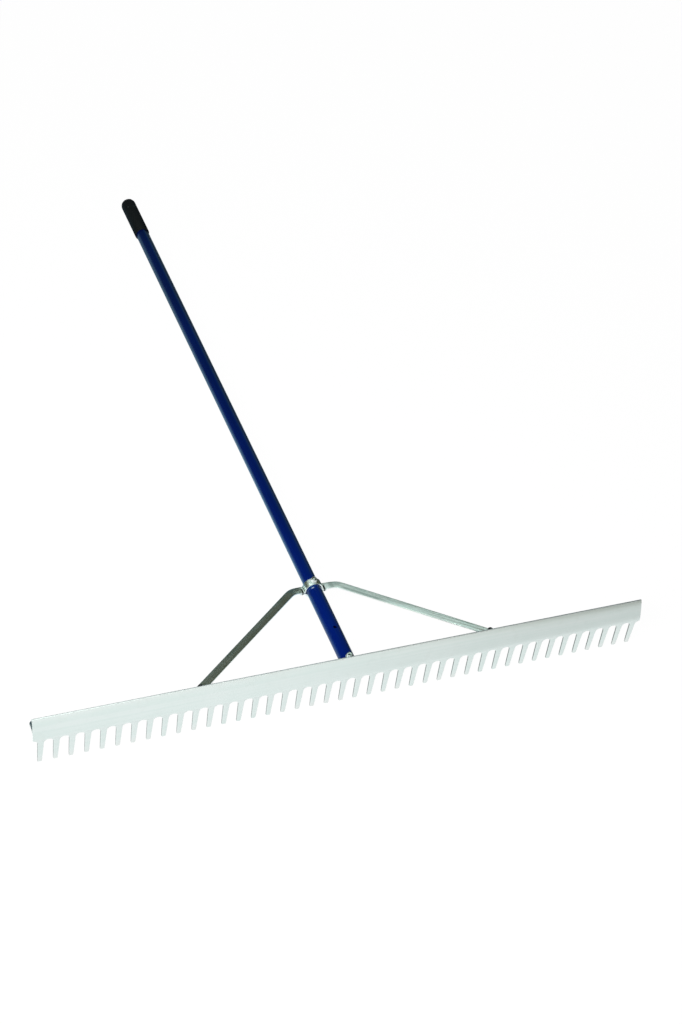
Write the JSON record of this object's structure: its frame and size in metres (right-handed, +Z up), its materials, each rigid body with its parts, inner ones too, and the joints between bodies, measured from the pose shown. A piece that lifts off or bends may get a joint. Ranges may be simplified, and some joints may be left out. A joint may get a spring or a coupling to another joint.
{
  "type": "garden rake",
  "caption": "Wide landscape rake with a toothed aluminium head, a long blue tube handle with a black end grip and a bolted steel brace.",
  "frame": {"origin": "on the ground, under the middle of the box round the whole tool as it lies", "axes": "+X along the head towards its right end, +Y along the handle towards the grip, +Z up"},
  "size_m": [1.2192, 1.454, 0.1038],
  "materials": {
    "mill_aluminium": "satin",
    "blue_powder_coat": "gloss",
    "black_vinyl": "satin",
    "zinc_plate": "satin",
    "black_nylon": "matte"
  },
  "bodies": {
    "root": {"rake_head": "mill_aluminium", "handle_tube": "blue_powder_coat", "handle_grip": "black_vinyl", "brace_strap": "zinc_plate", "clamp_saddle": "zinc_plate", "collar_bolt": "zinc_plate", "collar_nut": "zinc_plate", "collar_nut_ring": "black_nylon", "handle_bolt": "zinc_plate", "handle_washer": "zinc_plate", "handle_nut": "zinc_plate", "handle_nut_ring": "black_nylon", "foot_bolt_left": "zinc_plate", "foot_washer_left": "zinc_plate", "foot_nut_left": "zinc_plate", "foot_nut_ring_left": "black_nylon", "foot_bolt_right": "zinc_plate", "foot_washer_right": "zinc_plate", "foot_nut_right": "zinc_plate", "foot_nut_ring_right": "black_nylon"}
  },
  "joints": []
}
